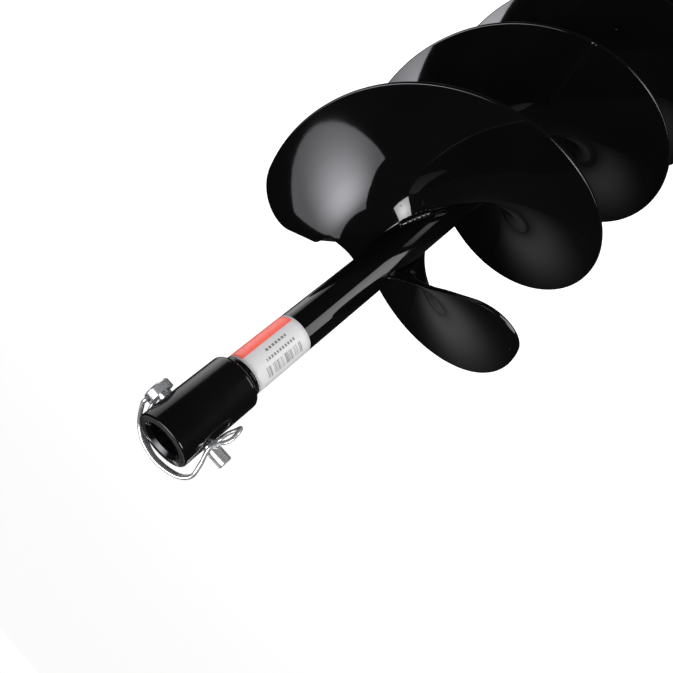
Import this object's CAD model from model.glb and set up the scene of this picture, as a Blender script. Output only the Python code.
"""Ice auger bit in gloss black enamel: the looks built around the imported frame.

Metres, in the frame's axes: Z is the auger's axis, and the drive socket's mouth is at the origin and faces +Z.
"""

import math
import random

import bpy
from mathutils import Matrix, Vector, noise

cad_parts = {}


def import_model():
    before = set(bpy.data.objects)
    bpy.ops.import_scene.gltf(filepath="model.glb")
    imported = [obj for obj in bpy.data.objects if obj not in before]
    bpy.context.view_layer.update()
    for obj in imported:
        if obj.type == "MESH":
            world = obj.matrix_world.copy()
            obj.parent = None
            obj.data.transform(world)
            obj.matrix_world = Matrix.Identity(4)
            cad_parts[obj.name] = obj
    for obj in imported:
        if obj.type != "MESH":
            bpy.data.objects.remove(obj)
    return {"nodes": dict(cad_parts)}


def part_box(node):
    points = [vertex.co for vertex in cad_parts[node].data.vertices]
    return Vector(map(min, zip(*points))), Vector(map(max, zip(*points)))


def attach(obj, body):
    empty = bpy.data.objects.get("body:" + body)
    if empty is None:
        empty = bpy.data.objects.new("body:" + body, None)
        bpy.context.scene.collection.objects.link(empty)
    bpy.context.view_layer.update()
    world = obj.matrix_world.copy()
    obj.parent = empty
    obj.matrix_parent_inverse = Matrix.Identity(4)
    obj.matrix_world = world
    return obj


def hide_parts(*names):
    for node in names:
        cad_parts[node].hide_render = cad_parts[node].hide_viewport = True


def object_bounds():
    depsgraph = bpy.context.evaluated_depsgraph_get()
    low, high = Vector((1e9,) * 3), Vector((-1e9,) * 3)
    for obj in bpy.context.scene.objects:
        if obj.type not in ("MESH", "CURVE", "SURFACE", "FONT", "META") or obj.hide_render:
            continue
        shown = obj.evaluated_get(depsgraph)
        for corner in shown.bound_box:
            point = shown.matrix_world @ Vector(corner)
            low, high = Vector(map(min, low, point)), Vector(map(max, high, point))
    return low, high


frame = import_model()
cad_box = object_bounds()

MM = 0.001
AUGER = "auger"  # every remade piece is welded or glued to this body

# Sizes of the frame, and of the flights that are remade with more detail
TUBE_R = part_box("shaft_tube")[1].x
FLIGHT_R = 0.1
FLIGHT_ROOT_R = TUBE_R + 0.06 * MM
FLIGHTS_END_Z = -742 * MM
PLATE = 3 * MM
RIM_ROUND = 0.7 * MM
SEGMENTS = 3
BLANK_STEPS = 210
LEAD_IN = 70.0  # degrees over which each start bends flatter
LEAD_IN_DROP = 5.5 * MM
START_CORNER_R = 26 * MM
FLIGHTS = {
    "a": {"start": 212.4, "start_z": -169.0 * MM, "end": -687.0, "nick_at": 38.3 * MM, "nick": 5.6 * MM},
    "b": {"start": 40.4, "start_z": -167.6 * MM, "end": -867.0, "nick_at": 43.0 * MM, "nick": 1.6 * MM},
}
# Each start edge falls back from the root to a nick, and returns to its straight outer part
NICK_MOUTH = 10 * MM
NICK_FADE = 16.0  # degrees of flight over which the plate takes up the start edge's shape
LABEL_LOW, LABEL_HIGH = (corner.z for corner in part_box("size_label"))
LABEL_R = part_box("size_label")[1].x

# Welds
STITCH_COUNT = 7
STITCH_FIRST = 67  # degrees past a flight's start
STITCH_PITCH = 118.0
STITCH_LENGTH = 40.0
STITCH_R = 2.3 * MM
TACK_R = 1.7 * MM
SPATTER_SEEDS = {"a": 7, "b": 11}
SPATTER_PER_STITCH = 16

# Finishes
ZINC_TINT = (0.97, 1.0, 1.03)

# Studio
LIT_POINT = (0, 0, -0.12)  # most lights are placed by a direction and a distance from here
FLOOR_HALF = 20.0
FLOOR_GAP = 0.02
LENS_MM = 38.614
CAMERA_AT = (0.03311, 0.34422, 0.11746)
CAMERA_AHEAD = (-0.0393, -0.8248, -0.5640)
CAMERA_UP = (-0.7394, 0.4037, -0.5388)


# Meshes


def make_piece(name, verts, faces, material, node):
    """A smooth-shaded mesh that stands for a CAD node and rides the auger."""
    mesh = bpy.data.meshes.new(name)
    mesh.from_pydata(verts, [], faces)
    mesh.validate()
    for polygon in mesh.polygons:
        polygon.use_smooth = True
    mesh.materials.append(material)
    piece = bpy.data.objects.new(name, mesh)
    bpy.context.scene.collection.objects.link(piece)
    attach(piece, AUGER)
    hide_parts(node)


def skin_loops(loops, closed=False):
    """Vertices and faces of a tube over equal loops, capped at both ends unless it closes on itself."""
    verts = [point for loop in loops for point in loop]
    size = len(loops[0])
    faces = []
    spans = len(loops) if closed else len(loops) - 1
    for i in range(spans):
        here = i * size
        there = ((i + 1) % len(loops)) * size
        for j in range(size):
            k = (j + 1) % size
            faces.append((here + j, here + k, there + k, there + j))
    if not closed:
        last = (len(loops) - 1) * size
        faces.append(tuple(reversed(range(size))))
        faces.append(tuple(range(last, last + size)))
    return verts, faces


def merge_shells(shells):
    """Several (vertices, faces) shells as one."""
    verts, faces = [], []
    for shell_verts, shell_faces in shells:
        base = len(verts)
        verts += shell_verts
        faces += [tuple(base + i for i in face) for face in shell_faces]
    return verts, faces


def at(radius, angle, z):
    """A point from its radius, its angle in degrees and its height."""
    turn = math.radians(angle)
    return (radius * math.cos(turn), radius * math.sin(turn), z)


# Flights


def flight_slope(flight):
    """How far a flight climbs for each degree of turn, in metres."""
    return (FLIGHTS_END_Z - flight["start_z"]) / (flight["end"] - flight["start"])


def flight_height(flight, angle):
    """The height of a flight's middle surface, which bends flatter toward its start."""
    near_start = max(0.0, 1 - (flight["start"] - angle) / LEAD_IN)
    return flight["start_z"] + flight_slope(flight) * (angle - flight["start"]) - LEAD_IN_DROP * near_start**2


def flight_edge_r(past_start):
    """The plate's outer radius at an angle past its start edge, whose corner is rounded off."""
    centre_r = FLIGHT_R - START_CORNER_R
    reach = math.degrees(math.asin(START_CORNER_R / centre_r))
    if past_start >= reach:
        return FLIGHT_R
    turn = math.radians(reach - past_start)
    inside = max(0.0, START_CORNER_R**2 - (centre_r * math.sin(turn)) ** 2)
    return centre_r * math.cos(turn) + math.sqrt(inside)


def half_plate(flight, radius):
    """Half the plate's thickness along Z, which is more near the tube, where the plate is steeper."""
    climb = flight_slope(flight) * 180 / math.pi
    return PLATE / 2 * math.sqrt(1 + (climb / radius) ** 2)


def edge_setback(flight, radius):
    """How far the start edge falls back at a radius: a slow slope from the root, then a steep return."""
    deep, at_r = flight["nick"], flight["nick_at"]
    if radius <= at_r:
        share = (radius - FLIGHT_ROOT_R) / (at_r - FLIGHT_ROOT_R)
        return deep * max(0.0, share) ** 0.95
    share = min(1.0, (radius - at_r) / NICK_MOUTH)
    return deep * (1 - math.sin(share * math.pi / 2) ** 1.5)


def plate_loop(flight, angle, outer_r, swell=1.0):
    """The plate's section at an angle: along its upper side, round its rim and back along its underside."""
    shares = [0, 0.03, 0.07, 0.13, 0.2, 0.24, 0.275, 0.29, 0.3, 0.31, 0.325, 0.34, 0.36, 0.4, 0.45,
              0.5, 0.6, 0.7, 0.8, 0.88, 0.94, 0.98, 0.99, 0.996]
    span = outer_r - RIM_ROUND - FLIGHT_ROOT_R
    radii = [FLIGHT_ROOT_R + span * share for share in shares]
    rim = [(outer_r - RIM_ROUND * (1 - math.sin(t)), 1 - RIM_ROUND * (1 - math.cos(t)) / (PLATE / 2))
           for t in (math.radians(step) for step in (0, 22, 45, 68, 90))]
    upper = [(r, 1.0) for r in radii] + rim
    section = upper + [(r, -side) for r, side in reversed(upper)]
    past = flight["start"] - angle
    carry = max(0.0, 1 - past / NICK_FADE)
    loop = []
    for r, side in section:
        half = half_plate(flight, r) * swell
        there = angle - math.degrees(edge_setback(flight, r) / r) * carry
        loop.append(at(r, there, flight_height(flight, there) + side * half))
    return loop


def seam_swell(distance_deg):
    """How many times thicker the dressed butt weld leaves the plate near a joint between blanks."""
    height, width_deg = 0.16, 1.7
    return 1 + height * math.exp(-((distance_deg / width_deg) ** 2))


def flight_blank(letter, index, material):
    """One blank of a flight, with a softened edge where it starts free and dressed welds at its joints."""
    flight = FLIGHTS[letter]
    span = (flight["end"] - flight["start"]) / SEGMENTS
    high = flight["start"] + span * index
    low = high + span
    loops = []
    if index == 0:
        for back, thin in ((0.0, 0.5), (0.06, 0.78), (0.16, 0.94)):
            loops.append(plate_loop(flight, high - back, flight_edge_r(back), thin))
    full_from = 0.35  # degrees past the free edge where the plate has its whole thickness
    for step in range(BLANK_STEPS + 1):
        if index == 0:
            angle = high - full_from + (low - high + full_from) * (step / BLANK_STEPS) ** 1.25
        else:
            angle = high + (low - high) * step / BLANK_STEPS
        swell = 1.0
        if index > 0:
            swell = max(swell, seam_swell(high - angle))
        if index < SEGMENTS - 1:
            swell = max(swell, seam_swell(angle - low))
        loops.append(plate_loop(flight, angle, flight_edge_r(flight["start"] - angle), swell))
    name = f"flight_{letter}_{index + 1}"
    verts, faces = skin_loops(loops)
    make_piece(f"{name}_plate", verts, faces, material, name)


# Welds


def bead(points, outs, radius, ripple, seed):
    """A weld bead along a path: rippled like a row of laid coins, and drawn in at both ends."""
    sides = 14
    loops = []
    count = len(points)
    for i, (point, out) in enumerate(zip(points, outs)):
        before = points[max(0, i - 1)]
        after = points[min(count - 1, i + 1)]
        along = (after - before).normalized()
        side = along.cross(out).normalized()
        up = side.cross(along).normalized()
        share = i / (count - 1)
        taper = min(1.0, 0.25 + 6.5 * min(share, 1 - share)) ** 0.6
        wave = 1 + ripple * math.sin(i * 1.05) + 0.1 * noise.noise(Vector((i * 0.21, seed, 0)))
        loops.append([
            tuple(point + (side * math.cos(t) + up * math.sin(t)) * radius * taper * wave)
            for t in (2 * math.pi * k / sides for k in range(sides))
        ])
    return skin_loops(loops)


def droplet(centre, radius):
    """A bead of spatter, flattened along Z."""
    squash, squash_dir = 0.6, Vector((0, 0, 1))
    rings, sides = 5, 8
    verts, faces = [], []
    across = squash_dir.orthogonal().normalized()
    other = squash_dir.cross(across)
    for i in range(1, rings):
        tilt = math.pi * i / rings
        for j in range(sides):
            turn = 2 * math.pi * j / sides
            flat = (across * math.cos(turn) + other * math.sin(turn)) * math.sin(tilt)
            verts.append(tuple(centre + (flat + squash_dir * math.cos(tilt) * squash) * radius))
    verts.append(tuple(centre + squash_dir * radius * squash))
    verts.append(tuple(centre - squash_dir * radius * squash))
    for i in range(rings - 2):
        for j in range(sides):
            k = (j + 1) % sides
            faces.append((i * sides + j, i * sides + k, (i + 1) * sides + k, (i + 1) * sides + j))
    top, bottom, last = len(verts) - 2, len(verts) - 1, (rings - 2) * sides
    for j in range(sides):
        k = (j + 1) % sides
        faces.append((top, k, j))
        faces.append((bottom, last + j, last + k))
    return verts, faces


def plate_top(flight, radius, angle, above=0.0):
    """A point on or above a flight's upper side."""
    return Vector(at(radius, angle, flight_height(flight, angle) + half_plate(flight, radius) + above))


def root_path(flight, top, length, count, out, above):
    """Evenly laid points along the root of a flight's upper side, with the directions away from the root."""
    path, outs = [], []
    for i in range(count):
        angle = top - length * i / (count - 1)
        path.append(plate_top(flight, TUBE_R + out, angle, above))
        outs.append(Vector(at(1, angle, 0.8)))
    return path, outs


def root_welds(letter, material):
    """Stitch beads along a flight's root, on its upper side, spatter near each, and a tack at its start."""
    flight = FLIGHTS[letter]
    rng = random.Random(SPATTER_SEEDS[letter])
    shells = []
    for k in range(STITCH_COUNT):
        top = flight["start"] - STITCH_FIRST - STITCH_PITCH * k
        path, outs = root_path(flight, top, STITCH_LENGTH, 46, 0.7 * MM, 0.4 * MM)
        shells.append(bead(path, outs, STITCH_R, 0.075, k))
        for _ in range(SPATTER_PER_STITCH):
            angle = top - rng.uniform(-8, STITCH_LENGTH + 8)
            radius = TUBE_R + rng.uniform(3, 17) * MM
            size = rng.uniform(0.18, 0.5) * MM
            shells.append(droplet(plate_top(flight, radius, angle), size))
    path, outs = root_path(flight, flight["start"] - 2, 26, 20, 0.5 * MM, 0.2 * MM)
    shells.append(bead(path, outs, TACK_R, 0.08, 31))
    verts, faces = merge_shells(shells)
    name = f"flight_{letter}_welds"
    make_piece(f"{name}_beads", verts, faces, material, name)


def hub_weld(material):
    """The weld between socket and tube: a full bead, smoothed by the enamel that pooled on it."""
    low, high = (corner.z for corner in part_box("hub_weld"))
    outer_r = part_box("hub_weld")[1].x
    bite, neck = 0.3 * MM, 1.3 * MM  # into the tube, and drawn in over the bead's height
    coin_count, rows, around = 46, 12, 160
    loops = []
    for j in range(around):
        angle = 360 * j / around
        turn = math.radians(angle)
        loop = []
        for share in [i / rows for i in range(rows + 1)]:
            z = high + (low - high) * share
            bulge = math.sin(math.pi * (share * 0.9 + 0.1)) ** 0.8
            wander = noise.noise(Vector((math.cos(turn) * 2.2, math.sin(turn) * 2.2, share * 1.6)))
            coins = 0.06 * math.sin(turn * coin_count + 3 * share)
            top_r = outer_r - neck * share - (outer_r - TUBE_R - neck) * share**2.2
            radius = top_r + (0.35 * wander + coins) * MM * bulge - 0.45 * MM
            loop.append(at(max(TUBE_R + 0.02 * MM, radius), angle, z))
        loop.append(at(TUBE_R - bite, angle, low))
        loop.append(at(TUBE_R - bite, angle, high))
        loops.append(loop)
    verts, faces = skin_loops(loops, closed=True)
    faces = [tuple(reversed(face)) for face in faces]
    make_piece("hub_weld_bead", verts, faces, material, "hub_weld")


# Label


def label_sleeve(material):
    """A wrapped paper label, one thickness of stock with a lapped end and edges that lift a little."""
    stock, lap_height = 0.09 * MM, 0.1 * MM
    start, wrap = -100.0, 372.0  # degrees
    around, rows = 180, 14
    loops = []
    for j in range(around + 1):
        share = j / around
        angle = start + wrap * share
        lap = lap_height * max(0.0, min(1.0, (share - 0.955) / 0.02))
        inner = LABEL_R - stock - lap_height + lap
        outer = inner + stock
        column = []
        for i in range(rows + 1):
            z = LABEL_LOW + (LABEL_HIGH - LABEL_LOW) * i / rows
            lift = 0.015 * MM * noise.noise(Vector((math.radians(angle) * 2, z * 90, 4)))
            column.append(at(outer + lift, angle, z))
        for i in range(rows, -1, -1):
            z = LABEL_LOW + (LABEL_HIGH - LABEL_LOW) * i / rows
            column.append(at(inner, angle, z))
        loops.append(column)
    verts, faces = skin_loops(loops)
    make_piece("size_label_paper", verts, faces, material, "size_label")


# Materials


class Nodes:
    """Short calls for building a material's node tree."""

    def __init__(self, name):
        self.material = bpy.data.materials.new(name)
        self.material.use_nodes = True
        self.tree = self.material.node_tree
        self.shader = self.tree.nodes["Principled BSDF"]
        self.place = self.tree.nodes.new("ShaderNodeTexCoord").outputs["Object"]

    def new(self, kind, inputs=None, **settings):
        """A shader node with its settings and inputs."""
        node = self.tree.nodes.new("ShaderNode" + kind)
        for key, value in settings.items():
            setattr(node, key, value)
        for key, value in (inputs or {}).items():
            self.put(node.inputs[key], value)
        return node

    def put(self, socket, value):
        """A value, or a link when the value is another node's socket."""
        if isinstance(value, bpy.types.NodeSocket):
            self.tree.links.new(value, socket)
        else:
            socket.default_value = value

    def set(self, **values):
        """Inputs of the shader, by their names with underscores."""
        for key, value in values.items():
            self.put(self.shader.inputs[key.replace("_", " ")], value)

    def math(self, operation, a, b=0.0):
        return self.new("Math", {0: a, 1: b}, operation=operation).outputs[0]

    def noise(self, scale, detail=3.0, rough=0.5, stretch=(1, 1, 1)):
        """Noise over the object's coordinates, squeezed along each axis by its factor."""
        mapped = self.new("Mapping", {"Vector": self.place, "Scale": stretch})
        inputs = {"Vector": mapped.outputs[0], "Scale": scale, "Detail": detail, "Roughness": rough}
        return self.new("TexNoise", inputs).outputs["Fac"]

    def ramp(self, value, low, high, bottom=0.0, top=1.0):
        """A value mapped smoothly from one range to another."""
        inputs = {"Value": value, "From Min": low, "From Max": high, "To Min": bottom, "To Max": top}
        return self.new("MapRange", inputs, interpolation_type="SMOOTHSTEP").outputs[0]

    def mix(self, share, a, b):
        """One colour blended into another."""
        return self.new("Mix", {0: share, 6: a, 7: b}, data_type="RGBA").outputs[2]

    def specks(self, scale, size, rarity):
        """Scattered dots: 1 inside a dot of a size in cell units, for the rarest cells alone."""
        cells = self.new("TexVoronoi", {"Vector": self.place, "Scale": scale})
        dot = self.math("LESS_THAN", cells.outputs["Distance"], size)
        pick = self.new("SeparateColor", {0: cells.outputs["Color"]}).outputs[0]
        return self.math("MULTIPLY", dot, self.math("GREATER_THAN", pick, rarity))

    def bump(self, height, distance, strength, after=None):
        """Relief, laid over another bump's when one is given."""
        inputs = {"Height": height, "Distance": distance, "Strength": strength}
        if after is not None:
            inputs["Normal"] = after
        return self.new("Bump", inputs).outputs[0]


def grey(value, tint=(1.0, 1.0, 1.0)):
    """An opaque grey, with its channels scaled by a tint."""
    return (value * tint[0], value * tint[1], value * tint[2], 1.0)


def enamel(name, roughness, peel, dust):
    """Gloss black enamel with orange peel, slight haze and specks of dust."""
    n = Nodes(name)
    haze = n.noise(28, 4)
    fine = n.noise(900, 2)
    dots = n.specks(210, 0.07, 1 - dust)
    base = n.mix(haze, grey(0.0014), grey(0.003, (1.0, 1.0, 1.08)))
    n.set(Base_Color=n.mix(dots, base, grey(0.35)))
    gloss = n.ramp(haze, 0.3, 0.75, roughness * 0.8, roughness * 1.25)
    n.set(Roughness=n.math("ADD", gloss, n.math("MULTIPLY", dots, 0.4)), IOR=1.5)
    wave = n.noise(130, 2)
    surface = n.bump(wave, 0.06 * MM, peel)
    grain = n.math("ADD", n.math("MULTIPLY", fine, 0.25), dots)
    n.set(Normal=n.bump(grain, 0.02 * MM, 0.35, surface))
    return n.material


def plated(name, roughness, tone, stretch, metal):
    """Bright zinc: drawing lines along the stock, faint clouding and small dull spots."""
    n = Nodes(name)
    lines = n.noise(1400, 3, 0.6, stretch)
    cloud = n.noise(160, 4)
    spots = n.specks(420, 0.12, 0.9)
    bright = n.mix(n.ramp(cloud, 0.3, 0.7), grey(tone, ZINC_TINT), grey(tone * 0.82, (1.0, 0.99, 0.95)))
    n.set(Base_Color=n.mix(n.math("MULTIPLY", spots, 0.5), bright, grey(tone * 0.55)), Metallic=metal)
    rough = n.ramp(lines, 0.25, 0.8, roughness * 0.75, roughness * 1.5)
    n.set(Roughness=n.math("ADD", rough, n.math("MULTIPLY", spots, 0.15)))
    n.set(Normal=n.bump(lines, 0.012 * MM, 0.5))
    return n.material


def blade_steel():
    """Ground blade stock: cross-grinding lines, light oil stain and a trace of rust."""
    n = Nodes("ground_blade_steel")
    lines = n.noise(900, 4, 0.65, (1.0, 1.0, 12.0))
    stain = n.noise(35, 5)
    rust = n.ramp(n.noise(220, 5, 0.7), 0.66, 0.8)
    steel = n.mix(n.ramp(stain, 0.35, 0.7), grey(0.56), grey(0.42, (1.04, 1.0, 0.93)))
    n.set(Base_Color=n.mix(n.math("MULTIPLY", rust, 0.35), steel, (0.19, 0.09, 0.045, 1)), Metallic=1.0)
    n.set(Roughness=n.ramp(lines, 0.2, 0.8, 0.24, 0.46))
    n.set(Normal=n.bump(lines, 0.02 * MM, 0.6))
    return n.material


def black_oxide():
    """Blackened screw steel, dry and slightly brown where it is handled."""
    n = Nodes("black_oxide_steel")
    cloud = n.noise(300, 4)
    n.set(Base_Color=n.mix(cloud, grey(0.03), grey(0.07, (1.08, 1.0, 0.92))), Metallic=0.85)
    n.set(Roughness=n.ramp(cloud, 0.3, 0.7, 0.32, 0.5))
    n.set(Normal=n.bump(n.noise(1500, 2), 0.01 * MM, 0.6))
    return n.material


def label_print():
    """White stock with a plain red panel, two rows of grey dashes and a block of grey bars."""
    n = Nodes("printed_label")
    split = n.new("SeparateXYZ", {0: n.place})
    x, y, z = split.outputs
    angle = n.math("MULTIPLY", n.math("ARCTAN2", y, x), 180 / math.pi)
    down = n.math("MULTIPLY", n.math("SUBTRACT", LABEL_HIGH, z), 1 / MM)

    def between(value, low, high):
        return n.math("MULTIPLY", n.math("GREATER_THAN", value, low), n.math("LESS_THAN", value, high))

    def field(angles, depths):
        return n.math("MULTIPLY", between(angle, *angles), between(down, *depths))

    def dashes(angles, depths, pitch, share):
        """A row of even dashes along the label."""
        place = n.math("FRACT", n.math("MULTIPLY", down, 1 / pitch))
        return n.math("MULTIPLY", field(angles, depths), n.math("LESS_THAN", place, share))

    paper = n.mix(n.noise(900, 3), grey(0.5, (1.0, 1.0, 0.985)), grey(0.56, (1.0, 1.0, 0.99)))
    red = n.mix(n.noise(240, 3), (0.9, 0.09, 0.055, 1), (0.96, 0.12, 0.075, 1))
    colour = n.mix(field((117, 176), (1.3, 40.2)), paper, red)
    rows = n.math("ADD", dashes((93.5, 100.5), (14, 30), 2.4, 0.66), dashes((72.5, 80), (11, 33), 2.1, 0.6))
    colour = n.mix(n.math("MULTIPLY", rows, 0.8), colour, grey(0.06))
    width = n.math("FRACT", n.math("MULTIPLY", n.math("SINE", n.math("FLOOR", down)), 3.7))
    bar = n.math("LESS_THAN", n.math("FRACT", down), n.math("MULTIPLY", width, 0.85))
    block = n.math("MULTIPLY", field((32, 62), (7.5, 35)), bar)
    colour = n.mix(n.math("MULTIPLY", block, 0.75), colour, grey(0.08))
    n.set(Base_Color=colour, Roughness=n.ramp(n.noise(700, 3), 0.3, 0.7, 0.38, 0.5))
    n.set(Coat_Weight=0.35, Coat_Roughness=0.25)
    n.set(Normal=n.bump(n.noise(1200, 4), 0.01 * MM, 0.4))
    return n.material


def dress(node, material):
    """Gives a CAD node its finish."""
    for slot in frame["nodes"][node].material_slots:
        slot.material = material


# Studio


def softbox(name, centre, aim, size, radiance, edge, roll=0.0, hot=(0.5, 0.5), tint=(1.0, 1.0, 1.0)):
    """A soft light, brightest at its hot spot, that falls to a share of that at its edges."""
    light = bpy.data.lights.new(name, "AREA")
    light.shape = "RECTANGLE"
    light.size, light.size_y = size
    light.energy = radiance * math.pi * size[0] * size[1]
    light.color = tint
    light.use_nodes = True
    tree = light.node_tree
    emission = next(node for node in tree.nodes if node.type == "EMISSION")
    place = tree.nodes.new("ShaderNodeNewGeometry").outputs["Parametric"]
    centred = tree.nodes.new("ShaderNodeVectorMath")
    centred.operation = "DISTANCE"
    centred.inputs[1].default_value = (*hot, 0.0)
    tree.links.new(place, centred.inputs[0])
    fall = tree.nodes.new("ShaderNodeMapRange")
    fall.interpolation_type = "SMOOTHSTEP"
    for key, value in {"From Min": 0.0, "From Max": 0.6, "To Min": 1.0, "To Max": edge}.items():
        fall.inputs[key].default_value = value
    tree.links.new(centred.outputs["Value"], fall.inputs["Value"])
    tree.links.new(fall.outputs[0], emission.inputs["Strength"])
    lamp = bpy.data.objects.new(name, light)
    bpy.context.scene.collection.objects.link(lamp)
    back = (Vector(centre) - Vector(aim)).normalized()
    # Before it is rolled, the light's X is level
    level = Vector((0, 0, 1)).cross(back)
    level = level.normalized() if level.length > 0.01 else Vector((1, 0, 0))
    turn = Matrix((level, back.cross(level), back)).transposed().to_4x4()
    lamp.matrix_world = Matrix.Translation(centre) @ turn @ Matrix.Rotation(math.radians(roll), 4, "Z")
    lamp.visible_camera = False


def toward(azimuth, elevation, distance):
    """A place at a distance from the lit point of the auger, in a direction given in degrees."""
    turn, tilt = math.radians(azimuth), math.radians(elevation)
    level = math.cos(tilt)
    away = Vector((level * math.cos(turn), level * math.sin(turn), math.sin(tilt)))
    return Vector(LIT_POINT) + away * distance


def lights():
    """An overhead box, a side box, a low strip and three dim fills."""
    aim = (0, 0, -0.15)
    over = (-0.297, 0.48)
    softbox("overhead_box", (*over, 1.2), (*over, 0), (1.52, 1.13), radiance=10.0, edge=0.2, roll=24,
            hot=(0.55, 0.49), tint=(0.99, 0.975, 1.035))
    softbox("side_box", toward(34, 6, 1.3), aim, (0.52, 0.6), radiance=15.0, edge=0.6)
    softbox("low_strip", toward(46, -37.5, 0.72), aim, (0.54, 0.24), radiance=3.5, edge=0.8)
    softbox("broad_fill", toward(194, -28, 1.1), aim, (1.1, 0.7), radiance=2.2, edge=0.3)
    softbox("under_fill", toward(-88, -12, 1.3), aim, (0.95, 0.8), radiance=0.19, edge=0.05)
    softbox("far_fill", toward(-93, 36, 1.5), aim, (0.7, 0.6), radiance=0.9, edge=0.8)


def world():
    """Pale where the camera sees past the floor, and dim for everything that the object mirrors."""
    scene_world = bpy.data.worlds.new("studio")
    bpy.context.scene.world = scene_world
    scene_world.use_nodes = True
    tree = scene_world.node_tree
    dim = tree.nodes["Background"]
    dim.inputs["Color"].default_value = (0.9, 0.95, 1.0, 1)
    dim.inputs["Strength"].default_value = 0.02
    pale = tree.nodes.new("ShaderNodeBackground")
    pale.inputs["Color"].default_value = (1, 1, 1, 1)
    seen = tree.nodes.new("ShaderNodeLightPath").outputs["Is Camera Ray"]
    blend = tree.nodes.new("ShaderNodeMixShader")
    tree.links.new(seen, blend.inputs[0])
    tree.links.new(dim.outputs[0], blend.inputs[1])
    tree.links.new(pale.outputs[0], blend.inputs[2])
    tree.links.new(blend.outputs[0], tree.nodes["World Output"].inputs["Surface"])


def floor():
    """A plain pale floor just below the point, lit from within so that it stays even."""
    z = cad_box[0][2] - FLOOR_GAP
    corners = [(x * FLOOR_HALF, y * FLOOR_HALF, z) for x, y in ((-1, -1), (1, -1), (1, 1), (-1, 1))]
    mesh = bpy.data.meshes.new("floor")
    mesh.from_pydata(corners, [], [(0, 1, 2, 3)])
    n = Nodes("pale_floor")
    n.set(Base_Color=grey(0.8), Roughness=0.9, Emission_Color=grey(1.0), Emission_Strength=0.95)
    mesh.materials.append(n.material)
    plane = bpy.data.objects.new("floor", mesh)
    bpy.context.scene.collection.objects.link(plane)
    plane.visible_glossy = False


def camera():
    """A view from beside the socket, along the auger, rolled so that it runs corner to corner."""
    ahead = Vector(CAMERA_AHEAD).normalized()
    up = Vector(CAMERA_UP)
    up = (up - ahead * up.dot(ahead)).normalized()
    right = ahead.cross(up)
    data = bpy.data.cameras.new("camera")
    data.sensor_width = 36
    data.lens = LENS_MM
    data.clip_start = 0.01
    view = bpy.data.objects.new("camera", data)
    bpy.context.scene.collection.objects.link(view)
    turn = Matrix((right, up, -ahead)).transposed().to_4x4()
    view.matrix_world = Matrix.Translation(CAMERA_AT) @ turn
    bpy.context.scene.camera = view


def build():
    """Remakes the flights, the welds that show and the label, and gives the other nodes a finish."""
    gloss = enamel("gloss_enamel", 0.05, 0.10, 0.012)
    drip = enamel("pooled_enamel", 0.05, 0.05, 0.0)
    satin = enamel("turned_enamel", 0.13, 0.14, 0.01)
    pin_zinc = plated("pin_zinc", 0.24, 0.74, (0.06, 1, 1), 0.8)
    wire_zinc = plated("wire_zinc", 0.24, 0.78, (1, 1, 1), 0.8)
    nut_zinc = plated("fastener_zinc", 0.26, 0.75, (1, 1, 1), 0.9)
    steel = blade_steel()
    oxide = black_oxide()
    for letter in FLIGHTS:
        for index in range(SEGMENTS):
            flight_blank(letter, index, gloss)
        root_welds(letter, gloss)
        dress(f"ice_blade_{letter}", steel)
        dress(f"blade_carrier_{letter}", gloss)
    hub_weld(drip)
    label_sleeve(label_print())
    dress("drive_hub", satin)
    dress("lock_pin", pin_zinc)
    dress("lock_pin_bail", wire_zinc)
    for node in ("shaft_tube", "carrier_welds", "cutter_boss", "boss_weld", "pilot_point"):
        dress(node, gloss)
    for node in ("blade_washers", "blade_nuts"):
        dress(node, nut_zinc)
    for node in ("blade_screws", "pilot_set_screw"):
        dress(node, oxide)


build()
lights()
world()
floor()
camera()
bpy.context.scene.view_settings.view_transform = "Standard"
